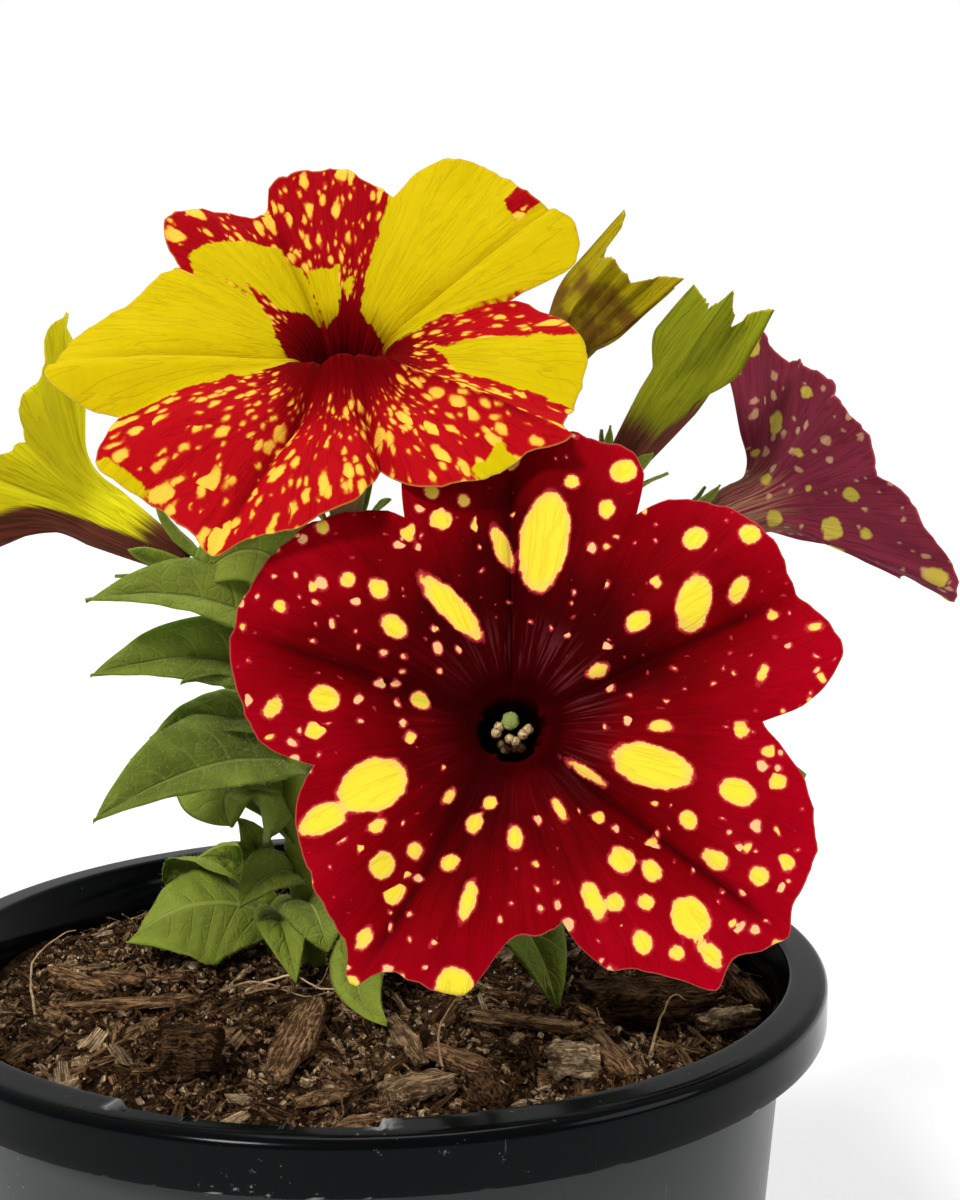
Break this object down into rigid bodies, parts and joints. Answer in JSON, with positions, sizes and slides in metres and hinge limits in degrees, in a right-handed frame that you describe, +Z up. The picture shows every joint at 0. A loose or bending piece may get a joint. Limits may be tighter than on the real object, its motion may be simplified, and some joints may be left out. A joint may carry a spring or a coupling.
{
  "type": "potted petunia",
  "caption": "Young petunia with open spotted funnel blooms, side blooms and opening buds on leafy stems, in bark potting mix in a round nursery pot with a rolled rim.",
  "frame": {"origin": "centre of the flat underside of the pot, where it stands", "axes": "+Z up along the pot's axis, and the plant's main bloom faces -Y, with the label slot in the rim on that side"},
  "size_m": [0.1658, 0.14, 0.2307],
  "materials": {
    "pot_plastic": "gloss",
    "bark_mix": "rough",
    "leaf": "downy matte",
    "crimson_petal": "velvet matte",
    "yellow_petal": "velvet matte",
    "green_yellow_petal": "velvet matte",
    "maroon_petal": "velvet matte",
    "stamen": "matte"
  },
  "bodies": {
    "root": {"pot": "pot_plastic", "potting_mix": "bark_mix", "main_leafy_stem": "leaf", "low_leafy_shoot": "leaf", "front_leafy_stem": "leaf", "right_leafy_stem": "leaf", "back_leafy_stem": "leaf", "front_bloom_corolla": "crimson_petal", "top_bloom_corolla": "yellow_petal", "left_bloom_corolla": "green_yellow_petal", "right_bloom_corolla": "maroon_petal", "opening_bud_corolla": "green_yellow_petal", "fluted_bud_corolla": "green_yellow_petal", "front_bloom_stamens": "stamen", "top_bloom_stamens": "stamen", "left_bloom_stamens": "stamen", "right_bloom_stamens": "stamen"}
  },
  "joints": []
}
